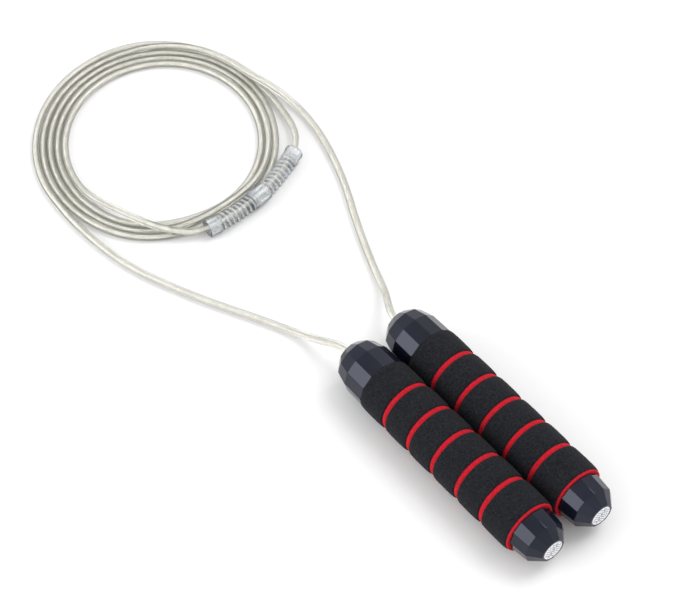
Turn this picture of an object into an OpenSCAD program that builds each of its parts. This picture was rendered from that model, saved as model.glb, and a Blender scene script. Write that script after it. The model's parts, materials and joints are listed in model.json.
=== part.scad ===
// Jump rope with two foam-covered handles. Each handle turns on a small ball
// bearing in its faceted nose cap, around a coated cable that a screw stop holds.
// The handles lie side by side along Y, and the cable lies coiled past their noses.
// Each handle is drawn upright, with Z along its axis and the rope leaving upwards.

/* [Handle] */
// Outer diameter of the foam grip
foam_od = 35; // [30:0.5:42]
// Length of the foam grip
foam_len = 125; // [90:1:160]
// Thickness of the black skin over the red foam
skin_t = 1.4; // [0.8:0.1:2.5]
// Number of grooves cut through the black skin
groove_count = 5; // [1:1:6]
// Width of each groove
groove_w = 3; // [1.5:0.1:5]
// Distance from groove to groove
groove_pitch = 20.5; // [10:0.5:22]
// Offset of the row of grooves from the middle of the foam
groove_shift = 1.2; // [-3:0.1:3]
// Rounding of the skin's edges along each groove
skin_edge = 0.6; // [0.2:0.1:0.7]
// Red foam left bare at the butt end
red_bare = 1.2; // [1:0.1:3]
// Rounding of the red foam at the butt end
red_edge = 0.8; // [0.2:0.1:1]
// Outer diameter of the hard tube under the foam
core_od = 25.4; // [24:0.2:28]
// Wall of the hard tube
core_wall = 1.7; // [1.2:0.1:2.4]
// Space between the two handles as they lie
handle_gap = 0.3; // [0.3:0.1:20]

/* [Nose cap] */
// Length of the nose cap outside the foam
nose_len = 28.5; // [24:0.5:40]
// Facets around each cap
cap_sides = 12; // [8:1:12]
// How far the nose's corners sit inside the foam's surface
nose_step = 0.6; // [0.1:0.1:2]
// How far the first ring of corners sits inside the nose's base
nose_shoulder_in = 0.3; // [0.1:0.1:1]
// How far the second ring of corners sits inside the nose's base
nose_bevel_in = 2.7; // [2:0.1:3.5]
// Width across corners of the flat tip
nose_tip_d = 17.6; // [14:0.2:22]
// Length of the nose's first row of facets
nose_row1 = 14.5; // [10:0.5:16]
// Length of the nose's second row of facets
nose_row2 = 8.5; // [5:0.5:10]
// Solid length between the tip and the bearing seat
nose_face_t = 8; // [6:0.5:10]
// Length of each cap's spigot inside the hard tube
spigot_len = 16; // [10:1:25]
// Space around the rope in the mouth of the nose
throat_clear = 0.8; // [0.5:0.1:1.5]

/* [Butt cap] */
// Length of the butt cap outside the foam
butt_len = 19; // [14:0.5:30]
// How far the butt cap's corners sit inside the foam's surface
butt_step = 2.5; // [1:0.1:3]
// How far the ring of corners sits inside the butt cap's base
butt_shoulder_in = 1.1; // [0.2:0.1:1.5]
// Length of the butt cap's first row of facets
butt_row1 = 12; // [8:0.5:13]
// Wall of the hollow butt cap and of its spigot
butt_wall = 2; // [1.4:0.1:3]
// Diameter of the metal badge
badge_d = 13; // [8:0.2:13.4]
// Thickness of the metal badge
badge_t = 1; // [0.5:0.1:1.5]
// Flat of the butt cap around the badge
badge_rim = 1.5; // [1:0.1:3]

/* [Bearing] */
// Outer diameter of the bearing
bearing_od = 16; // [15:0.5:17]
// Bore of the bearing
bearing_id = 8; // [7.5:0.1:8.2]
// Width of the bearing
bearing_w = 5; // [4:0.5:6]
// Diameter of each ball
ball_d = 2; // [1.5:0.1:2.2]
// Number of balls
ball_count = 9; // [6:1:10]
// Depth of the ball groove in each race
groove_depth = 0.3; // [0.1:0.05:0.35]
// Clearance between the balls and the race grooves
ball_clear = 0.05; // [0.03:0.01:0.08]
// Thickness of the dust shields
shield_t = 0.3; // [0.2:0.05:0.5]

/* [Rope and stop] */
// Diameter of the coated cable
rope_d = 4.5; // [3.5:0.1:4.8]
// Diameter of the steel strand inside the coating
strand_d = 2.6; // [1.5:0.1:2.8]
// Length of cable inside each handle, measured from the tip
rope_inside = 78; // [60:1:110]
// Bare strand at the cut end of the cable
strand_bare = 4; // [2:0.5:8]
// Width of the flange on the spindle bush
flange_d = 10.4; // [9.6:0.1:10.4]
// Thickness of the spindle's flange
flange_t = 1.5; // [1:0.1:2.5]
// Thickness of the washer
washer_t = 0.8; // [0.5:0.1:1.5]
// Diameter of the rope stop
stop_d = 9.5; // [8:0.1:10.5]
// Length of the rope stop
stop_len = 12; // [10:0.5:16]
// Diameter of the stop's grub screw
screw_d = 3; // [2.5:0.1:4]
// Width across flats of the grub screw's socket
socket_w = 1.5; // [1.2:0.1:2]

/* [Wear sleeves] */
// Outer diameter of the wear sleeves
sleeve_od = 11.4; // [10:0.2:11.6]
// Bore of the wear sleeves
sleeve_id = 7; // [6.4:0.2:7.6]
// Diameter of the moulded spiral's wire
spiral_wire = 1.4; // [1:0.1:1.8]
// Turns in each spiral
spiral_turns = 8.5; // [5:0.5:10]
// Length of each spiral
spiral_len = 27.2; // [22:0.2:32]
// Length of the open collar at the lower end
lower_collar = 7.5; // [6:0.5:10]
// Length of the collar in the middle
middle_collar = 11; // [8:0.5:14]
// Length of the collar at the upper end
upper_collar = 8; // [6:0.5:10]

/* [Hidden] */
$fn = 96;
// Clearance of a pressed fit, and of a fit that slides or turns
press_gap = 0.02;
slide_gap = 0.05;
// A cut runs past the face it opens by this much
cut = 1;

// Lengths along a handle, from its middle
handle_len = butt_len + foam_len + nose_len;
tip_z = handle_len / 2;
butt_z = -handle_len / 2;
foam_lo = butt_z + butt_len;
foam_hi = foam_lo + foam_len;
groove_mid = (foam_lo + foam_hi) / 2 + groove_shift;

// Places of the two handle axes
handle_x = (foam_od + handle_gap) / 2;
axis_z = foam_od / 2;

// Widths of the caps across corners
nose_base_d = foam_od - 2 * nose_step;
nose_shoulder_d = nose_base_d - 2 * nose_shoulder_in;
nose_bevel_d = nose_base_d - 2 * nose_bevel_in;
butt_base_d = foam_od - 2 * butt_step;
butt_shoulder_d = butt_base_d - 2 * butt_shoulder_in;
butt_tip_d = badge_d + 2 * badge_rim;

// Radii
foam_r = foam_od / 2;
red_r = foam_r - skin_t;
core_r = core_od / 2;
core_bore_r = core_r - core_wall;
rope_r = rope_d / 2;
throat_r = rope_r + throat_clear;
race_out_r = bearing_od / 2;
race_in_r = bearing_id / 2;
pitch_r = (race_out_r + race_in_r) / 2;
ball_r = ball_d / 2;
race_t = (race_out_r - race_in_r) / 2 - ball_r + groove_depth;
flange_r = flange_d / 2;

// Stack behind the tip: seat, bearing, spindle flange, washer, stop
seat_z = tip_z - nose_face_t;
bearing_z = seat_z - bearing_w;
flange_z = bearing_z - flange_t;
washer_z = flange_z - washer_t;
stop_z = washer_z - stop_len;
relief_r = race_out_r - race_t;
relief_h = 1.5;
keeper_len = 6;
rope_end_z = tip_z - rope_inside;

// Wear sleeves lie along an arc of the cable
arc_c = [-2.5, 344];
arc_r = 126;
arc_start = -97.7;
sleeve_z = sleeve_od / 2;
// The cable lies low in the sleeves and towards the coil, on the same arc past their ends
run_z = 5.2;
run_in = 0.8;
run_past = 3;
lower_len = lower_collar + spiral_len;
middle_lo = lower_len;
upper_lo = middle_lo + middle_collar + spiral_len;
sleeve_end = upper_lo + upper_collar;
nose_ring_r = sleeve_id / 2 + 1.1;
nose_ring_len = 2.5;
end_ring_len = 2;
// The spiral sits this much below the collars' outer surface, and enters them this far
spiral_inset = 0.25;
spiral_hold = 1;

// Cable: the coil is a ring, and the free stretches follow these points
coil_hole = [4.8, 294.5];
coil_hole_r = 59.5;
coil_rim = [0.6, 301.6];
coil_rim_r = 77;
rope_sides = 10;
exit_len = 3.5;
left_pts = [
    [-18.2, 94.5, 16.5], [-19.6, 99.5, 14.6], [-21, 106, 11.4], [-22.3, 112, 8.2],
    [-23.8, 119, 5], [-26.2, 127, 2.8], [-30.2, 136, 2.25], [-36, 148, 2.25],
    [-42.5, 160.5, 2.25], [-49.2, 173.5, 2.25], [-56.3, 188.5, 2.25],
    [-62.9, 204.5, 2.25], [-69, 220.5, 2.25], [-73, 236, 2.25], [-75.2, 251, 2.25],
    [-76.3, 264.5, 2.25], [-76.7, 277.5, 2.25], [-76, 290, 2.25]
];
right_pts = [
    [18.9, 94.5, 16.5], [21.9, 99.5, 14.6], [26.1, 106, 11.4], [29.9, 112, 8.2],
    [33.7, 119, 5], [37.1, 127, 2.8], [40.5, 136, 2.25], [45.4, 148, 2.25],
    [51, 161, 2.25], [57.5, 175, 2.25], [64.5, 189, 2.25], [71.5, 205, 2.25],
    [77.5, 221.5, 2.25], [82.3, 239, 2.25], [84.8, 255, 2.25], [85.2, 268, 2.4],
    [83.2, 280, 4.3], [80, 290, 6.3], [77, 301, 6.7]
];
run_lead = [
    [78.2, 290, 2.25], [77.8, 280.5, 2.25], [76.5, 270, 2.25], [74.6, 260, 2.5],
    [71.9, 250.8, 3.3], [67.5, 243, 4.4]
];
run_tail = [
    [-29, 223.4, 5.6], [-34.6, 227.9, 6.2], [-39.6, 234.3, 6.7], [-44.3, 242.5, 6.75],
    [-48.1, 251.2, 6.75], [-51.3, 260, 6.5], [-54, 269.5, 5.4], [-56.2, 279, 3.8],
    [-57.8, 288.5, 2.7]
];

// Lays an upright handle part down along Y, on the left (-1) or right (1)
module on_handle(side) {
    translate([side * handle_x, 0, axis_z]) rotate([-90, 0, 0]) children();
}

// A plain ring from height lo to height hi
module ring(r_out, r_in, lo, hi) {
    translate([0, 0, lo]) difference() {
        cylinder(r = r_out, h = hi - lo);
        translate([0, 0, -cut]) cylinder(r = r_in, h = hi - lo + 2 * cut);
    }
}

// A stack of faceted frusta through [height, width across corners] pairs
module facets(rings) {
    for (i = [0 : len(rings) - 2])
        translate([0, 0, rings[i][0]])
            cylinder(d1 = rings[i][1], d2 = rings[i + 1][1],
                     h = rings[i + 1][0] - rings[i][0], $fn = cap_sides);
}

// Nose cap: faceted shell with a spigot, a bearing seat and a flared rope mouth
module nose_cap() {
    color("#3b3d4a") difference() {
        union() {
            translate([0, 0, foam_hi]) facets([
                [0, nose_base_d], [nose_row1, nose_shoulder_d],
                [nose_row1 + nose_row2, nose_bevel_d], [nose_len, nose_tip_d]
            ]);
            translate([0, 0, foam_hi - spigot_len])
                cylinder(r = core_bore_r - press_gap, h = spigot_len + cut);
        }
        translate([0, 0, foam_hi - spigot_len - cut])
            cylinder(r = race_out_r + press_gap, h = seat_z - foam_hi + spigot_len + cut);
        translate([0, 0, seat_z - cut]) cylinder(r = relief_r, h = relief_h + cut);
        translate([0, 0, seat_z]) cylinder(r = throat_r, h = nose_face_t + cut);
        rope_mouth_flare();
    }
}

// The rounded flare that the rope bends over as it leaves the tip
module rope_mouth_flare() {
    flare = 1.5;
    translate([0, 0, tip_z - flare]) rotate_extrude() difference() {
        square([throat_r + flare, flare + cut]);
        translate([throat_r + flare, 0]) circle(r = flare);
    }
}

// Hard tube that carries the foam and both caps
module core_tube() {
    color("#24252b") ring(core_r, core_bore_r, foam_lo, foam_hi);
}

// Red foam tube, seen in the grooves and at its rounded butt end
module red_foam() {
    wall = red_r - core_r;
    color("#b41e2a") rotate_extrude() {
        translate([core_r, foam_lo]) square([wall - red_edge, red_edge]);
        translate([core_r, foam_lo + red_edge]) square([wall, foam_len - red_edge]);
        translate([red_r - red_edge, foam_lo + red_edge]) circle(r = red_edge);
    }
}

// Cross-section of one band of the black skin, with rounded outer edges
module band_profile(w) {
    e = skin_edge;
    translate([red_r, 0]) {
        square([skin_t - e, w]);
        translate([0, e]) square([skin_t, w - 2 * e]);
    }
    for (h = [e, w - e]) translate([foam_r - e, h]) circle(r = e);
}

// Black foam skin, cut into bands by the grooves
module black_foam() {
    first = groove_mid - (groove_count - 1) / 2 * groove_pitch;
    edges = concat([foam_lo + red_bare - groove_w / 2],
                   [for (i = [0 : groove_count - 1]) first + i * groove_pitch],
                   [foam_hi + groove_w / 2]);
    color("#202124") for (i = [0 : groove_count])
        translate([0, 0, edges[i] + groove_w / 2])
            rotate_extrude() band_profile(edges[i + 1] - edges[i] - groove_w);
}

// Butt cap: hollow faceted plug that pulls out of the hard tube
module butt_cap() {
    spigot_r = core_bore_r - slide_gap;
    hollow_r = spigot_r - butt_wall;
    floor_z = butt_z + butt_len - butt_row1 + butt_wall;
    color("#3b3d4a") difference() {
        union() {
            translate([0, 0, butt_z]) facets([
                [0, butt_tip_d], [butt_len - butt_row1, butt_shoulder_d],
                [butt_len - slide_gap, butt_base_d]
            ]);
            translate([0, 0, foam_lo - cut]) cylinder(r = spigot_r, h = spigot_len + cut);
        }
        translate([0, 0, floor_z])
            cylinder(r = hollow_r, h = foam_lo + spigot_len - floor_z + cut);
        translate([0, 0, butt_z - cut]) cylinder(d = badge_d + 2 * press_gap, h = badge_t + cut);
    }
}

// Plain round badge, let into the flat end of the butt cap
module badge() {
    rim = 0.3;
    color("#d8dade") {
        translate([0, 0, butt_z]) cylinder(d1 = badge_d - 2 * rim, d2 = badge_d, h = rim);
        translate([0, 0, butt_z + rim]) cylinder(d = badge_d, h = badge_t - rim);
    }
}

// Ring-shaped groove that the balls run in
module ball_groove() {
    translate([0, 0, bearing_z + bearing_w / 2]) rotate_extrude()
        translate([pitch_r, 0]) circle(r = ball_r + ball_clear);
}

// Bearing ring that is pressed into the nose cap
module outer_race() {
    color("#b9bcc2") difference() {
        ring(race_out_r, race_out_r - race_t, bearing_z, seat_z);
        ball_groove();
    }
}

// Bearing ring that is pressed onto the spindle
module inner_race() {
    color("#b9bcc2") difference() {
        ring(race_in_r + race_t, race_in_r, bearing_z, seat_z);
        ball_groove();
    }
}

// Places one child on the pitch circle for each ball
module each_ball() {
    for (i = [0 : ball_count - 1])
        rotate([0, 0, i * 360 / ball_count])
            translate([pitch_r, 0, bearing_z + bearing_w / 2]) children();
}

// Balls between the two races
module balls() {
    color("#e6e8ec") each_ball() sphere(r = ball_r);
}

// Cage ring with a pocket around each ball
module ball_cage() {
    cage_t = 0.5;
    rib = 0.45;
    cage_h = ball_d + 2 * rib;
    mid = bearing_z + bearing_w / 2;
    color("#8c7a4f") difference() {
        ring(pitch_r + cage_t, pitch_r - cage_t, mid - cage_h / 2, mid + cage_h / 2);
        each_ball() rotate([0, 90, 0])
            cylinder(r = ball_r + ball_clear, h = 4 * cage_t, center = true);
    }
}

// Two shields pressed into the outer race, one on each face
module dust_shields() {
    inner = race_in_r + race_t + 4 * slide_gap;
    color("#9a9da4") for (z = [bearing_z, seat_z - shield_t])
        ring(race_out_r - race_t, inner, z, z + shield_t);
}

// Ring pressed in behind the bearing to hold it on its seat
module bearing_keeper() {
    color("#2b2c31") ring(race_out_r, relief_r, bearing_z - keeper_len, bearing_z);
}

// Bush through the bearing, with a flange that takes the rope's pull
module spindle() {
    lead = 1;
    relief = 0.4;
    color("#b48a3c") difference() {
        union() {
            ring(race_in_r - press_gap, rope_r + slide_gap, flange_z, seat_z + lead);
            ring(flange_r, rope_r + slide_gap, flange_z, bearing_z);
        }
        translate([0, 0, seat_z + lead]) rotate_extrude()
            translate([race_in_r - press_gap, 0]) circle(r = relief);
    }
}

// Washer that turns against the flange while the rope stands still
module washer() {
    inset = 0.4;
    color("#c9ccd1") ring(flange_r - inset, rope_r + slide_gap, washer_z, flange_z);
}

// Clamping barrel on the rope, with a tapped hole for its grub screw
module rope_stop() {
    color("#b48a3c") difference() {
        ring(stop_d / 2, rope_r + slide_gap, stop_z, washer_z - slide_gap);
        translate([0, 0, stop_z + stop_len / 2]) rotate([0, 90, 0])
            cylinder(d = screw_d + 2 * press_gap, h = stop_d);
    }
}

// Grub screw with a hexagon socket
module stop_screw() {
    tip = rope_r + slide_gap;
    sunk = 0.2;
    socket_deep = 1;
    long = stop_d / 2 - tip - sunk;
    color("#55585f") translate([tip, 0, stop_z + stop_len / 2]) rotate([0, 90, 0])
        difference() {
            cylinder(d = screw_d, h = long);
            translate([0, 0, long - socket_deep])
                cylinder(d = socket_w / cos(30), h = socket_deep + cut, $fn = 6);
        }
}

// Coating of the cable inside the handle
module rope_end() {
    color("#c8c6bc") ring(rope_r, strand_d / 2, rope_end_z + strand_bare, tip_z);
}

// Steel strand inside the coating, bare at its cut end
module rope_strand() {
    color("#8e9094") translate([0, 0, rope_end_z])
        cylinder(d = strand_d, h = rope_inside);
}

function unit(v) = v / norm(v);
function tangent(p, i) = unit(p[min(i + 1, len(p) - 1)] - p[max(i - 1, 0)]);

// Corners of the tube's ring number i, square to the path p
function tube_ring(p, i, r, sides) =
    let (t = tangent(p, i), side = unit(cross(t, [0, 0, 1])), up = cross(side, t))
    [for (k = [0 : sides - 1])
        p[i] + r * (cos(360 * k / sides) * side + sin(360 * k / sides) * up)];

// A closed surface over a row of rings that all have the same number of corners
module skin_over(rings) {
    sides = len(rings[0]);
    last = (len(rings) - 1) * sides;
    walls = [for (i = [0 : len(rings) - 2]) for (k = [0 : sides - 1])
        let (a = i * sides + k, b = i * sides + (k + 1) % sides)
        each [[a, a + sides, b + sides], [a, b + sides, b]]];
    polyhedron([for (loop = rings) each loop],
               concat(walls, [[for (k = [0 : sides - 1]) k]],
                      [[for (k = [sides - 1 : -1 : 0]) last + k]]));
}

// A round tube swept along the points of path p
module tube(p, r, sides) {
    skin_over([for (i = [0 : len(p) - 1]) tube_ring(p, i, r, sides)]);
}

// A point on the sleeves' arc, a given length from its lower end
function arc_angle(s) = arc_start + s / arc_r * 180 / PI;
function arc_point(s, z, inward = 0) =
    let (r = arc_r - inward, a = arc_angle(s))
    [arc_c[0] + r * cos(a), arc_c[1] + r * sin(a), z];

// The cable leaves each tip straight
function rope_exit(side) =
    [for (y = [0, exit_len]) [side * handle_x, tip_z + y, axis_z]];

// The free stretch from the left handle to the coil
module rope_tail_left() {
    color("#c8c6bc") tube(concat(rope_exit(-1), left_pts), rope_r, rope_sides);
}

// The free stretch from the right handle, up onto the coil
module rope_tail_right() {
    color("#c8c6bc") tube(concat(rope_exit(1), right_pts), rope_r, rope_sides);
}

// The stretch that leaves the coil, runs through the sleeves and crosses back over
module rope_sleeve_run() {
    rings = 10;
    inside = [for (i = [0 : rings])
        arc_point(sleeve_end + run_past - i * (sleeve_end + 2 * run_past) / rings, run_z, run_in)];
    color("#c8c6bc") tube(concat(run_lead, inside, run_tail), rope_r, rope_sides);
}

// Outer shape of the coiled turns, wider where more strands lie side by side
module rope_coil() {
    edge = rope_r * 0.8;
    color("#c8c6bc") difference() {
        translate([coil_rim[0], coil_rim[1], 0]) rotate_extrude() {
            square([coil_rim_r - edge, rope_d]);
            translate([0, edge]) square([coil_rim_r, rope_d - 2 * edge]);
            for (z = [edge, rope_d - edge]) translate([coil_rim_r - edge, z]) circle(r = edge);
        }
        translate([coil_hole[0], coil_hole[1], -cut])
            cylinder(r = coil_hole_r, h = rope_d + 2 * cut);
    }
}

// Stands a part upright at length s on the arc, with Z along the cable
module on_arc(s) {
    translate(arc_point(s, sleeve_z)) rotate([0, 0, arc_angle(s) + 90]) rotate([0, 90, 0])
        children();
}

// A straight collar from lo to hi along the arc
module collar(lo, hi) {
    on_arc((lo + hi) / 2)
        ring(sleeve_od / 2, sleeve_id / 2, -(hi - lo) / 2, (hi - lo) / 2);
}

// Points of the spiral, wound around the arc from lo to hi
function spiral_points(lo, hi, r, turns, steps) = [
    for (i = [0 : steps])
        let (s = lo + (hi - lo) * i / steps, a = arc_angle(s), w = 360 * turns * i / steps)
        arc_point(s, sleeve_z) + r * cos(w) * [cos(a), sin(a), 0] + r * sin(w) * [0, 0, 1]
];

// Ring of corners square to the spiral, kept level with the arc's own frame
function spiral_ring(p, i, r, sides, s) =
    let (t = tangent(p, i), axis = arc_point(s, sleeve_z),
         out = unit(p[i] - axis - ((p[i] - axis) * t) * t), side = cross(t, out))
    [for (k = [0 : sides - 1])
        p[i] + r * (cos(360 * k / sides) * out + sin(360 * k / sides) * side)];

module spiral(lo, hi) {
    sides = 6;
    rings_per_turn = 14;
    steps = round(spiral_turns * rings_per_turn);
    wire_r = spiral_wire / 2;
    p = spiral_points(lo, hi, sleeve_od / 2 - wire_r - spiral_inset, spiral_turns, steps);
    skin_over([for (i = [0 : steps])
        spiral_ring(p, i, wire_r, sides, lo + (hi - lo) * i / steps)]);
}

// Lower sleeve: open collar, spiral, and a ring whose spigot enters the next sleeve
module wear_sleeve_lower() {
    color("#dfe6ea", 0.7) {
        collar(0, lower_collar);
        spiral(lower_collar - spiral_hold, middle_lo - end_ring_len / 2);
        on_arc(middle_lo) {
            ring(sleeve_od / 2, sleeve_id / 2, -end_ring_len, -slide_gap);
            ring(nose_ring_r, sleeve_id / 2, -slide_gap, nose_ring_len);
        }
    }
}

// Upper sleeve: socket collar, spiral, and an end collar
module wear_sleeve_upper() {
    trim = 0.5;
    middle_hi = middle_lo + middle_collar;
    color("#dfe6ea", 0.7) {
        difference() {
            collar(middle_lo - trim, middle_hi);
            on_arc(middle_lo) {
                translate([0, 0, -trim - cut]) cylinder(r = sleeve_od, h = trim + cut);
                translate([0, 0, -cut])
                    cylinder(r = nose_ring_r + slide_gap, h = nose_ring_len + slide_gap + cut);
            }
        }
        spiral(middle_hi - spiral_hold, upper_lo + spiral_hold);
        collar(upper_lo, sleeve_end);
    }
}

rope_coil();
rope_tail_left();
rope_tail_right();
rope_sleeve_run();
wear_sleeve_lower();
wear_sleeve_upper();
on_handle(-1) rope_end();  // left_rope_end
on_handle(-1) rope_strand();  // left_rope_strand
on_handle(-1) spindle();  // left_spindle
on_handle(-1) washer();  // left_washer
on_handle(-1) rope_stop();  // left_rope_stop
on_handle(-1) stop_screw();  // left_stop_screw
on_handle(-1) inner_race();  // left_inner_race
on_handle(-1) outer_race();  // left_outer_race
on_handle(-1) balls();  // left_balls
on_handle(-1) ball_cage();  // left_ball_cage
on_handle(-1) dust_shields();  // left_dust_shields
on_handle(-1) bearing_keeper();  // left_bearing_keeper
on_handle(-1) nose_cap();  // left_nose_cap
on_handle(-1) core_tube();  // left_core_tube
on_handle(-1) red_foam();  // left_red_foam
on_handle(-1) black_foam();  // left_black_foam
on_handle(-1) butt_cap();  // left_butt_cap
on_handle(-1) badge();  // left_badge
on_handle(1) rope_end();  // right_rope_end
on_handle(1) rope_strand();  // right_rope_strand
on_handle(1) spindle();  // right_spindle
on_handle(1) washer();  // right_washer
on_handle(1) rope_stop();  // right_rope_stop
on_handle(1) stop_screw();  // right_stop_screw
on_handle(1) inner_race();  // right_inner_race
on_handle(1) outer_race();  // right_outer_race
on_handle(1) balls();  // right_balls
on_handle(1) ball_cage();  // right_ball_cage
on_handle(1) dust_shields();  // right_dust_shields
on_handle(1) bearing_keeper();  // right_bearing_keeper
on_handle(1) nose_cap();  // right_nose_cap
on_handle(1) core_tube();  // right_core_tube
on_handle(1) red_foam();  // right_red_foam
on_handle(1) black_foam();  // right_black_foam
on_handle(1) butt_cap();  // right_butt_cap
on_handle(1) badge();  // right_badge
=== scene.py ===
# %% [markdown]
# # A jump rope: two foam grips, two bearings and a coated cable
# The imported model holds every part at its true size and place. It is loaded first and stays
# as it is. Everything made below is laid around it: the cable, the foam, the plastic and the
# metal finishes. All lengths are in metres, so one millimetre is written `MM`.

# %% Load the frame
import json
import math
import bmesh
import bpy
import numpy as np
from mathutils import Matrix, Vector

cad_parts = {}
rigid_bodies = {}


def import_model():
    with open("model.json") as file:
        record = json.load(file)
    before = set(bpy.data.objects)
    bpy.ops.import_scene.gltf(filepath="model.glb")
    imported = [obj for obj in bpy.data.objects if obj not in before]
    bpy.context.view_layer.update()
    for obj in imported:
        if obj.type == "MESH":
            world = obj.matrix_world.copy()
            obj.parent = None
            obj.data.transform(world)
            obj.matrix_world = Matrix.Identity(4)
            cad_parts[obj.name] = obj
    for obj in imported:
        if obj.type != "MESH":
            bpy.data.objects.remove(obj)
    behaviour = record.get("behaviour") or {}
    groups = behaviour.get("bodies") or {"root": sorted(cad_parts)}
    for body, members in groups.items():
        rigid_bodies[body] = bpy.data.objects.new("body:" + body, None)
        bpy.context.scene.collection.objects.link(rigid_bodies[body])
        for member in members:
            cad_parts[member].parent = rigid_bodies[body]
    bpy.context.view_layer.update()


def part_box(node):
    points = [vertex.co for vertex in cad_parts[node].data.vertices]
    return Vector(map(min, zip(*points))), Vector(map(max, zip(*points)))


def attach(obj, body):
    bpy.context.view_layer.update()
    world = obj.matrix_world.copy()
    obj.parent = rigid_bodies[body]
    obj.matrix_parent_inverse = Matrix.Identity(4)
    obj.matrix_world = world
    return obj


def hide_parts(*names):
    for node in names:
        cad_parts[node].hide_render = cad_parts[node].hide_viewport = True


MM = 0.001
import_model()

# %% [markdown]
# ## The camera
# The rope lies on a table and is seen from above, over the butt end of the handles. A long
# lens from some way off keeps the two handles almost the same size. The camera is set by
# its direction, its distance and the spot on the table that it aims at.

# %% Camera
VIEW_AZIMUTH, VIEW_ELEVATION = math.radians(-39.35), math.radians(52.1)
VIEW_DISTANCE, VIEW_LENS = 1.6166, 144.1
AIM = Vector((0.01352, 0.13204, 0))


def add_object(name, data):
    """Puts a mesh, curve, camera or lamp into the scene as an object."""
    made = bpy.data.objects.new(name, data)
    bpy.context.scene.collection.objects.link(made)
    return made


def make_camera():
    away = Vector((math.sin(VIEW_AZIMUTH) * math.cos(VIEW_ELEVATION),
                   -math.cos(VIEW_AZIMUTH) * math.cos(VIEW_ELEVATION),
                   math.sin(VIEW_ELEVATION)))
    camera = add_object("camera", bpy.data.cameras.new("camera"))
    camera.data.lens = VIEW_LENS
    camera.location = AIM + VIEW_DISTANCE * away
    camera.rotation_euler = away.to_track_quat("Z", "Y").to_euler()
    bpy.context.scene.camera = camera
    return camera


print("camera at", [round(v, 3) for v in make_camera().location])

# %% [markdown]
# ## The cable's route
# The cable is one steel strand in a clear coating, 4.5 mm thick. It leaves the left handle,
# sinks to the table, goes once round as the outermost turn, runs through the two wear
# sleeves, crosses over the other turns and lands inside them. From there it winds outwards,
# one lane wider each turn, climbs over its own first turn and goes back to the right handle.
# The free stretches are listed points. The turns follow a rule: a slightly uneven
# circle, plus one lane for each turn, with the step to the next lane where the cable crosses.

# %% Points of the free stretches
ROPE_D = 4.5 * MM
ROPE_R = ROPE_D / 2
EXIT_STRAIGHT = 3.5 * MM
LEFT_TAIL = [
    (-0.0182, 0.0945, 0.0165), (-0.0196, 0.0995, 0.0146), (-0.021, 0.106, 0.0114),
    (-0.0223, 0.112, 0.0082), (-0.0238, 0.119, 0.005), (-0.0262, 0.127, 0.0028),
    (-0.0302, 0.136, 0.00225), (-0.036, 0.148, 0.00225), (-0.0425, 0.1605, 0.00225),
    (-0.0492, 0.1735, 0.00225), (-0.0563, 0.1885, 0.00225), (-0.0629, 0.2045, 0.00225),
    (-0.069, 0.2205, 0.00225), (-0.073, 0.236, 0.00225), (-0.0752, 0.251, 0.00225),
    (-0.0763, 0.2645, 0.00225), (-0.0767, 0.2775, 0.00225), (-0.076, 0.29, 0.00225),
]
RIGHT_TAIL = [
    (0.0189, 0.0945, 0.0165), (0.0219, 0.0995, 0.0146), (0.0261, 0.106, 0.0114),
    (0.0299, 0.112, 0.0082), (0.0337, 0.119, 0.005), (0.0371, 0.127, 0.0028),
    (0.0405, 0.136, 0.00225), (0.0454, 0.148, 0.00225), (0.051, 0.161, 0.00225),
    (0.0575, 0.175, 0.00225), (0.0645, 0.189, 0.00225), (0.0715, 0.205, 0.00225),
    (0.0775, 0.2215, 0.00225), (0.0823, 0.239, 0.00225), (0.0848, 0.255, 0.00225),
    (0.0852, 0.268, 0.0024), (0.0832, 0.28, 0.0043), (0.08, 0.29, 0.0063),
    (0.077, 0.301, 0.0067),
]
LEAD_IN = [
    (0.0782, 0.29, 0.00225), (0.0778, 0.2805, 0.00225), (0.0765, 0.27, 0.00225),
    (0.0746, 0.26, 0.0025), (0.0719, 0.2508, 0.0033), (0.0675, 0.243, 0.0044),
]
CROSSING = [
    (-0.029, 0.2234, 0.0056), (-0.0346, 0.2279, 0.0062), (-0.0396, 0.2343, 0.0067),
    (-0.0443, 0.2425, 0.00675), (-0.0481, 0.2512, 0.00675), (-0.0513, 0.26, 0.0065),
    (-0.054, 0.2695, 0.0054), (-0.0562, 0.279, 0.0038), (-0.0578, 0.2885, 0.0027),
]


def mouth(side):
    """Middle of the rope's way out of a nose cap, from the box of that side's rope end."""
    low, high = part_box(side + "_rope_end")
    return Vector(((low.x + high.x) / 2, high.y, (low.z + high.z) / 2))


SIDES = ("left", "right")
for side in SIDES:
    print(side, "mouth at", [round(v / MM, 2) for v in mouth(side)], "mm")

# %% The arc that the sleeves and their cable share
ARC_CENTRE = (-2.5 * MM, 344 * MM)
ARC_R = 126 * MM
ARC_START = math.radians(-97.7)
SLEEVES_LEN = 80.9 * MM
RUN_Z, RUN_INWARD, RUN_PAST = 5.2 * MM, 0.8 * MM, 3 * MM


def arc_point(s, z, inward=0.0):
    angle = ARC_START + s / ARC_R
    r = ARC_R - inward
    return (ARC_CENTRE[0] + r * math.cos(angle), ARC_CENTRE[1] + r * math.sin(angle), z)


sleeve_cable = [arc_point(s, RUN_Z, RUN_INWARD)
                for s in np.linspace(SLEEVES_LEN + RUN_PAST, -RUN_PAST, 11)]
print("sleeve arc spans", round(math.degrees(SLEEVES_LEN / ARC_R), 1), "degrees")

# %% The turns of the coil
COIL_CENTRE = (5.2 * MM, 294.2 * MM)
LANE = 4.45 * MM
OUTER_LANE = 4
STEP_ANGLE = 15
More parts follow.
